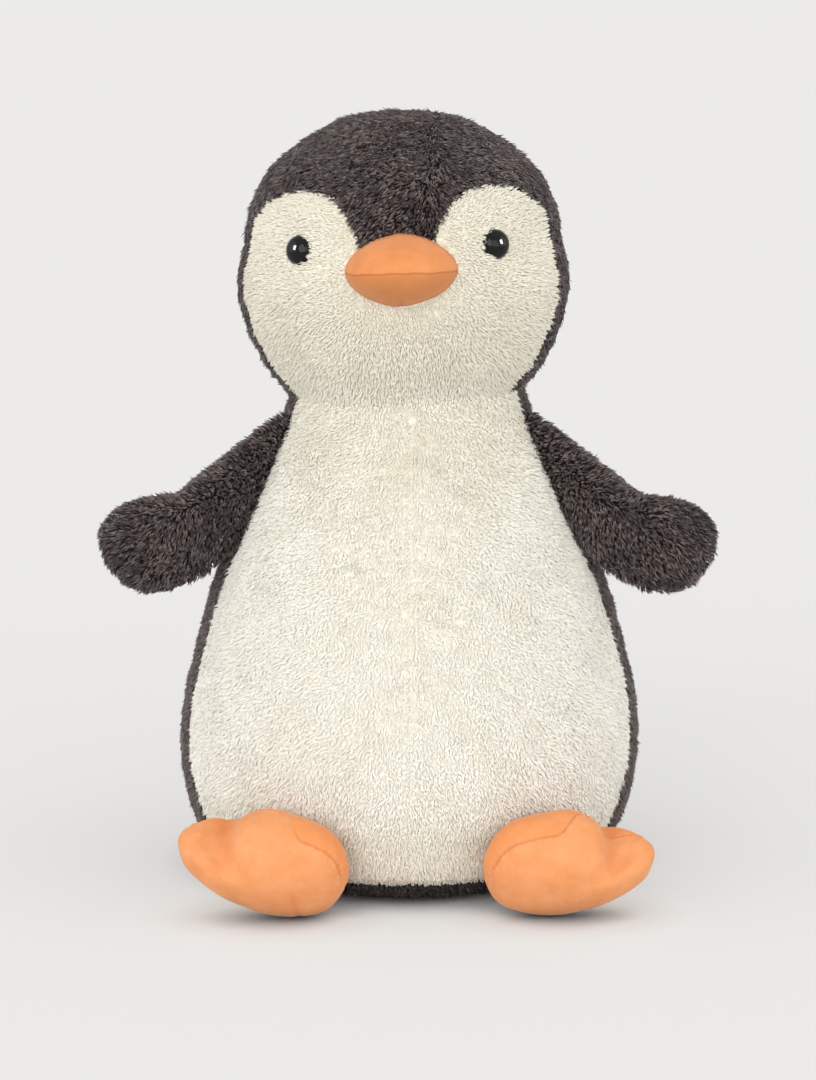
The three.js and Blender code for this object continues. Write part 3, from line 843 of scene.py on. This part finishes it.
def head_flow(root, normal, cream):
    """The face's pile runs out from the beak, and the hood's runs sideways and down the back."""
    away = unit(root - BEAK_MIDDLE)
    face = away + [0, 0, -0.35]
    x = (root[:, 0] - BEAK_MIDDLE[0]) / 0.09 + 0.45 * waves(root, 0.07, 15) - 0.2
    top = np.stack([np.tanh(x), 0.1 + 0 * x, -0.4 + 0 * x], 1)
    back = step(root[:, 1], -0.03, 0.05)[:, None]
    hood = top * (1 - back) + np.array([0, 0, -1.0]) * back
    return np.where(cream[:, None], face, hood)


def torso_drop(root, normal):
    """No pile above the neck, under the flippers' roots or where the feet press on the belly."""
    gone = root[:, 2] > (NECK_Z + 5) * MM
    for side, tree in FLIPPER_TREES.items():
        near = (root[:, 0] * MIRROR[side][0] > 0.09) & (root[:, 2] > 0.25)
        index = np.flatnonzero(near & ~gone)
        gone[index[within(root[index] + normal[index] * 2 * MM, tree)]] = True
    for side, tree in FOOT_TREES.items():
        near = (root[:, 0] * MIRROR[side][0] > 0.02) & (root[:, 2] < 0.14) & (root[:, 1] < -0.05)
        index = np.flatnonzero(near & ~gone)
        gone[index[within(root[index] + normal[index] * 5 * MM, tree)]] = True
    return gone


def torso_flow(root, normal, cream):
    """The pile hangs down and a little outwards, and points out from under the base."""
    down = np.stack([root[:, 0] * 2.2, root[:, 1] * 0.5, np.full(len(root), -0.75)], 1)
    under = step(-normal[:, 2], 0.5, 0.9)[:, None]
    outward = np.stack([root[:, 0], root[:, 1], 0 * root[:, 0]], 1) * 8
    return down * (1 - under) + outward * under


def flipper_flow(side):
    """The pile runs out along a flipper and fans out at its tip."""
    origin, axes = flipper_frame(side)

    def flow(root, normal, cream):
        p = local(origin, axes)(root)
        spread = unit(np.stack([p[:, 0] - 45, p[:, 1] - 55, 0 * p[:, 0]], 1))
        tip = step(p[:, 1], 45, 95)[:, None]
        own = spread * (0.5 + 0.6 * tip) + np.array([0.25, 0.7, 0]) * (1 - tip)
        return own @ axes + np.array([0, 0, -0.25])

    return flow


def skin_tree(obj):
    return BVHTree.FromPolygons(points_of(obj).tolist(), triangles_of(obj).tolist())


FLIPPER_TREES = {side: skin_tree(skins[f"flipper_{side}"]) for side in ("left", "right")}
FOOT_TREES = {side: skin_tree(skins[f"foot_{side}"]) for side in ("left", "right")}
TORSO_TREE = skin_tree(skins["torso"])


def flipper_drop(root, normal):
    """No pile on the part of a flipper that is inside the torso."""
    near = np.abs(root[:, 0]) < 0.21
    index = np.flatnonzero(near)
    gone = np.zeros(len(root), bool)
    gone[index[within(root[index] + normal[index] * 2 * MM, TORSO_TREE)]] = True
    return gone


def even(value):
    return lambda root, cream: np.full(len(root), value)


def head_length(root, cream):
    """The pile is shorter beside the beak and longer over the inner edge of each eye."""
    near = step(-np.linalg.norm(root - BEAK_MIDDLE, axis=1), -0.075, -0.05)
    longer = 0 * near
    for centre, _ in EYES.values():
        arm = root - centre * MM
        inner = (unit(arm) * unit(BEAK_MIDDLE - centre * MM)).sum(1)
        longer = longer + step(inner, 0.3, 0.8) * step(-np.linalg.norm(arm, axis=1), -0.021, -0.017)
    length = np.where(cream, PILE_LONG["face"], PILE_LONG["hood"]) * MM
    return length * (1 - 0.25 * near) * (1 + 0.3 * longer)


def torso_length(root, cream):
    """The pile is shorter along the belly's seam and longer under the base."""
    seam = np.exp(-((root[:, 0] / (2.0 * MM)) ** 2)) * cream
    under = step(-root[:, 2], -0.03, -0.012) * ~cream
    return np.where(cream, PILE_LONG["belly"], PILE_LONG["back"]) * MM * (1 - 0.5 * seam + 0.45 * under)


def head_lean(root, cream):
    return np.where(cream, PILE_LEAN["face"], PILE_LEAN["hood"])


def torso_lean(root, cream):
    return np.where(cream, PILE_LEAN["belly"], PILE_LEAN["back"])


PILES = [
    ("torso", TORSO_NODES, torso_flow, torso_length, torso_lean, torso_drop),
    ("head", HEAD_NODES, head_flow, head_length, head_lean, head_drop),
]
for side in ("left", "right"):
    part, flow = f"flipper_{side}", flipper_flow(side)
    length, lean = even(PILE_LONG["flipper"] * MM), even(PILE_LEAN["flipper"])
    PILES.append((part, [f"{part}_front", f"{part}_back"], flow, length, lean, flipper_drop))
for seed, (part, nodes, flow, length, lean, drop) in enumerate(PILES, 1):
    panels(part, nodes)
    pile(part, nodes, flow, length, lean, seed, drop)

# ---------------------------------------------------------------- suede feet and beak


def finer(obj, levels):
    """Subdivides a mesh."""
    smooth = obj.modifiers.new("fine", "SUBSURF")
    smooth.levels = smooth.render_levels = levels
    return bake_modifiers(obj)


def mark(obj, name, values):
    """How much of a second colour each vertex has."""
    layer = obj.data.attributes.new(name, "FLOAT", "POINT")
    layer.data.foreach_set("value", np.clip(values, 0, 1).astype(np.float32))


def bell(x, width):
    """1 at 0, and falling away smoothly over about that width."""
    return np.exp(-((x / width) ** 2))


def suede_piece(part, name, node_names, body, sculpt):
    """A suede skin, subdivided, sculpted in its own frame and marked along its seams."""
    obj = finer(skins[part], 2)
    obj.name = obj.data.name = name
    push, seam_and_painted_shade, nap_and_painted_light = sculpt(obj)
    set_points(obj, points_of(obj) + normals_of(obj) * push[:, None] * MM)
    # The seam mark holds the dark seams, and painted shade in the feet's notch and crease and the beak's
    # tuck.
    mark(obj, "seam", seam_and_painted_shade)
    # The second mark holds the nap, and painted light and painted shade, in a stronger colour.
    mark(obj, "nap_and_painted_light", nap_and_painted_light)
    obj.data.materials.clear()
    obj.data.materials.append(BEAK_SUEDE if part == "beak" else SUEDE)
    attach(obj, body)
    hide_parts(*node_names)
    return obj


def foot_sculpt(side):
    """A foot's seam, gathers, creases and the valley between its toes.

    The seam leaves the rim at the toes and runs over the front of the inner toes.
    """
    strip, start, end = (14, -6, 22) if side == "left" else (13, 14, 36)

    def sculpt(obj):
        p = local(*foot_frame(side))(points_of(obj))
        a, b, depth = p.T
        path = -14 + (strip + 14) * step(-a, start, end) * step(b, -40, -8)
        off = depth - path
        seam = bell(off, 1.0)
        rim = step(np.hypot(a / 66, b / 46), 0.45, 0.85)
        gathers = np.sin(a * 0.8 + 2.5 * np.sin(b * 0.11)) + 0.7 * np.sin(b * 1.0 + a * 0.35)
        pucker = bell(off, 5) * gathers * rim
        notch = bell(a - 31 + 0.18 * (b - 30), 6) * step(b, 2, 26)
        ridge = bell(a - 20 + 0.1 * (b - 30), 5) * step(b, 6, 26)
        toe = step(a, 34, 44) * step(b, -14, 10) * step(depth, -4, 10)
        wave = 0.7 * waves(p, 36, 31) + 0.3 * waves(p, 15, 32)
        crease = bell(a + 30 - 0.08 * b, 2.6) * step(-b, -4, 12) * step(depth, 0, 12) * (side == "right")
        shown = step(b, -16, 6)
        if side == "right":
            shown = shown * step(-a, 25, 34)
        push = -1.2 * seam * (0.2 + 0.8 * shown) + 0.35 * pucker - 3.6 * notch
        push = push + 1.0 * ridge - 1.6 * toe + wave - 0.8 * crease
        # The seam's dark line, with the notch and the crease painted a little darker as painted shade.
        seam_and_painted_shade = 0.36 * seam * (0.8 + 0.2 * np.sin(a * 2.1)) * shown
        seam_and_painted_shade = seam_and_painted_shade + 0.05 * notch + 0.1 * crease
        # The stronger colour: painted light on the strip above the seam, painted shade in the notch and the
        # crease.
        painted_light_and_shade = 0.6 * step(-off, -0.5, 1.5) + 0.5 * notch + 0.6 * crease
        return push, seam_and_painted_shade, painted_light_and_shade

    return sculpt


def beak_sculpt(obj):
    """A seam from corner to corner, a gathered tuck underneath and slight folds on top."""
    p = in_face(points_of(obj)) - (BEAK["x"], BEAK["depth"], 0)
    x, y, z = p.T
    line = z - 1.2 * np.cos(x / 50 * np.pi) + 0.3 * np.sin(x * 0.3)
    front = step(-y, -6, 8)
    seam = bell(line, 0.75) * front
    tuck = bell(x - 0.06 * z - 1.5, 1.8) * step(-z, 18, 31)
    folds = bell(x + 6 + 0.15 * z, 5) * step(z, 6, 24) + bell(x - 22 - 0.3 * z, 5) * step(z, 4, 20)
    ahead = in_face_depth(points_of(obj))
    edge = bell(ahead - 1.5, 2.0)
    gathers = bell(ahead - 3, 5) * np.sin(np.arctan2(z, x) * 46)
    push = -0.7 * seam - 1.0 * tuck - 0.5 * folds + 0.35 * waves(p, 22, 41) + 0.12 * gathers
    # Below the seam the beak takes the stronger, darker colour: partly nap and partly painted shade.
    nap_and_painted_light = step(-line, -0.2, 1.2)
    # The seam and the edge against the pile are darker, and the tuck is painted darker, painted shade in its
    # fold.
    return push, 0.62 * seam + 0.3 * tuck + 0.35 * edge, nap_and_painted_light


def in_face_depth(points):
    """How far in front of the tips of the face's pile points are, in mm."""
    x, y, z = (points / MM).T
    wide = head_half_width(z)
    return -y - wide * HEAD_FRONT * np.sqrt(np.clip(1 - ((x - HEAD_X) / wide) ** 2, 0.01, 1))


for side in ("left", "right"):
    suede_piece(
        f"foot_{side}", f"foot_{side}_suede",
        [f"foot_{side}_sole", f"foot_{side}_upper", f"foot_{side}_stuffing"],
        f"foot_{side}", foot_sculpt(side),
    )
suede_piece("beak", "beak_suede", ["beak_upper", "beak_lower", "beak_stuffing"], "head", beak_sculpt)

# ---------------------------------------------------------------- eyes


def turned(name, profile, centre, out, around, materials, index):
    """A round piece on an eye's axis, from (radius, height) pairs in mm that start and end on the axis."""
    seat = Vector((0, 0, 1)).rotation_difference(Vector(out)).to_matrix()
    turn = np.arange(around) / around * 2 * np.pi
    rings = [[(r * np.cos(t), r * np.sin(t), h) for t in turn] for r, h in profile[1:-1]]
    poles = [[[0, 0, h]] for _, h in (profile[0], profile[-1])]
    co = np.concatenate([poles[0], np.array(rings).reshape(-1, 3), poles[1]])
    co = (co @ np.array(seat).T + centre) * MM
    faces = grid_faces(len(rings), around)
    strips = [around] + [2 * around] * (len(index) - 2) + [around]
    shade = np.repeat(index, strips)
    return mesh_object(name, co, faces[:, ::-1], materials, shade)


eye_black = Shader("eye_black", 0.04)
eye_black.set(Base_Color=(0.003, 0.003, 0.003, 1), Specular_IOR_Level=0.26)
rim_grey = Shader("eye_rim", 0.22)
rim_grey.set(Base_Color=(0.05, 0.052, 0.055, 1))

shank_and_rim = [(0, -22), (2.5, -22), (2.5, -4.2), (12.2, -4.2), (13.1, -3.6), (13.3, -2.8), (12.8, -2.0)]
lift = np.linspace(0.03, np.pi / 2 - 0.05, 18)
dome = [(EYE_RADIUS * np.cos(a), EYE_HEIGHT * np.sin(a) - EYE_SINK) for a in lift]
profile = [*shank_and_rim, *dome, (0, EYE_HEIGHT - EYE_SINK)]
index = [1] * (len(shank_and_rim) - 1) + [0] * (len(dome) + 1)
for side, (centre, out) in EYES.items():
    eye = turned(f"eye_{side}_dome", profile, centre, out, 48, [eye_black.material, rim_grey.material], index)
    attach(eye, "head")
    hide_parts(f"eye_{side}")

# ---------------------------------------------------------------- what is inside, and the label

# For each skin, a cloth and the CAD nodes sealed inside it. The nodes are hidden and the skin is removed.
HIDDEN = {
    "torso": ("base_panel_cloth", ["torso_stuffing", "bean_pouch"]),
    "head": ("hood_left_cloth", ["head_stuffing", "eye_washer_left", "eye_washer_right"]),
    "flipper_left": ("flipper_left_back_cloth", ["flipper_left_stuffing"]),
    "flipper_right": ("flipper_right_back_cloth", ["flipper_right_stuffing"]),
}
for part, (cloth, nodes) in HIDDEN.items():
    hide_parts(*nodes)
    bpy.data.objects.remove(skins[part])

LABEL_WIDE, LABEL_LONG, LABEL_TOP = 36, 46, 95
LABEL_ROOT, LABEL_LIFT = 166, 6  # how far back it comes out of the seam, and how much further it hangs
LABEL_FOLD = 0.8  # half the space between the two layers of the folded ribbon
LABEL_THICK = 0.4


def care_label():
    """A plain folded satin ribbon that hangs out of the seam up the back."""
    across = np.linspace(-LABEL_WIDE / 2, LABEL_WIDE / 2, 13)
    down = LABEL_LONG - LABEL_FOLD
    turn = np.linspace(0, np.pi, 8)
    inner = [(t, -LABEL_FOLD) for t in np.linspace(0, down, 24)]
    fold = [(down + LABEL_FOLD * np.sin(a), -LABEL_FOLD * np.cos(a)) for a in turn[1:-1]]
    outer = [(t, LABEL_FOLD) for t in np.linspace(down, 0, 24)]
    t, off = np.array(inner + fold + outer).T
    x, share = np.meshgrid(across, t / LABEL_LONG)
    y = LABEL_ROOT + LABEL_LIFT * share**0.7 + off[:, None] + 0.9 * share * np.sin(x / 7 + 1)
    z = np.broadcast_to(LABEL_TOP - t[:, None] + 0.8 * np.sin(x / 11), y.shape)
    co = np.stack([x, y, z], 2).reshape(-1, 3) * MM
    n = len(across)
    i, j = np.meshgrid(np.arange(len(t) - 1), np.arange(n - 1), indexing="ij")
    first = (i * n + j).ravel()
    faces = np.stack([first, first + 1, first + n + 1, first + n], 1)
    s = Shader("satin_ribbon", 0.38)
    weave = s.noise(2600, 2)
    s.colour(s.ramp(weave, [(0.3, (0.8, 0.8, 0.78)), (0.7, (0.9, 0.9, 0.88))]))
    s.bump(weave, 0.25, 0.0002)
    ribbon = mesh_object("care_label_ribbon", co, faces, [s.material])
    thick = ribbon.modifiers.new("thickness", "SOLIDIFY")
    thick.thickness = LABEL_THICK * MM
    bake_modifiers(ribbon)
    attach(ribbon, "torso")
    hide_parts("care_label")


care_label()

# ---------------------------------------------------------------- floor, backdrop and light

STUDIO_WHITE = np.array([0.823, 0.815, 0.799])
FLOOR_GLOW = 0.48  # share of the floor's brightness that is light from below
CONTACT_REACH = 0.05  # m, how far the contact shadow spreads
CONTACT_DARK = 0.03  # share of the floor's own shade that is left where it is all hidden
FLOOR_REACH = 220  # m to the nearest point of the floor's edge
WINDOW_PLACE, WINDOW_AT = (2.5, -0.95, 1.4), (0, 0, 0.56)  # the right one, and what both face
WINDOW_SIZE, WINDOW_POWER = (0.62, 0.8), 95
# Very large, very distant softboxes: the way to each, how wide it is in degrees, and how strong.
FAR_LIGHTS = {
    "key": ((-0.6, -1.6, 0.65), 45, 1.2),
    "fill": ((0.7, -1.6, 0.1), 60, 1.2),
    "left": ((-1.8, -0.3, 0.5), 45, 0.45),
    "right": ((1.8, -0.3, 0.4), 45, 0.5),
}


def floor():
    """A pale floor so wide that its far edge meets the backdrop's own white."""
    corners = [(2 * np.sin(a), 2 * np.cos(a), 0) for a in np.radians([0, 240, 120])]
    obj = mesh_object("studio_floor", np.array(corners) * FLOOR_REACH, [(0, 1, 2)])
    falling = np.pi * STUDIO_WHITE
    for place, _, strength in FAR_LIGHTS.values():
        falling = falling + strength * unit(place)[2]
    shade = (1 - FLOOR_GLOW) * STUDIO_WHITE * np.pi / falling
    s = Shader("studio_floor", 0.95)
    s.set(Specular_IOR_Level=0.0, Emission_Color=(*STUDIO_WHITE, 1))
    # The floor's colour and glow are painted darker where the toy hides it close by: a painted contact
    # shadow.
    near = s.node("ShaderNodeAmbientOcclusion", Distance=CONTACT_REACH, samples=2)
    open_share = near.outputs["AO"]
    bare = s.scaled(open_share, 0.07, 0.4, 1.0)
    s.colour(s.mix(bare, (*(shade * CONTACT_DARK), 1), (*shade, 1)))
    s.link(s.scaled(open_share, 0.15, 0.58, FLOOR_GLOW), s.surface.inputs["Emission Strength"])
    obj.data.materials.append(s.material)


def far_light(name, place, spread, strength):
    """A sun as wide as a softbox, so that its light is even and its shadows are soft."""
    data = bpy.data.lights.new(name, "SUN")
    data.angle = np.radians(spread)
    data.energy = strength
    obj = bpy.data.objects.new(name, data)
    obj.rotation_euler = (-Vector(place)).to_track_quat("-Z", "Y").to_euler()
    SCENE.collection.objects.link(obj)


def window(name, place, target, size, power):
    """A studio window that shows only as a reflection in the glossy eyes."""
    data = bpy.data.lights.new(name, "AREA")
    data.shape = "RECTANGLE"
    data.size, data.size_y = size
    data.energy = power
    obj = bpy.data.objects.new(name, data)
    obj.location = place
    obj.rotation_euler = (Vector(target) - Vector(place)).to_track_quat("-Z", "Y").to_euler()
    obj.visible_camera = obj.visible_diffuse = False
    SCENE.collection.objects.link(obj)


floor()
for name, (place, spread, strength) in FAR_LIGHTS.items():
    far_light(name, place, spread, strength)
for name, side in (("window_left", -1), ("window_right", 1)):
    window(name, (side * WINDOW_PLACE[0], *WINDOW_PLACE[1:]), WINDOW_AT, WINDOW_SIZE, WINDOW_POWER)

world = bpy.data.worlds.new("studio")
world.use_nodes = True
world.node_tree.nodes["Background"].inputs["Color"].default_value = (*STUDIO_WHITE, 1)
world.node_tree.nodes["Background"].inputs["Strength"].default_value = 1.0
SCENE.world = world
SCENE.view_settings.view_transform = "Standard"

bpy.context.view_layer.update()
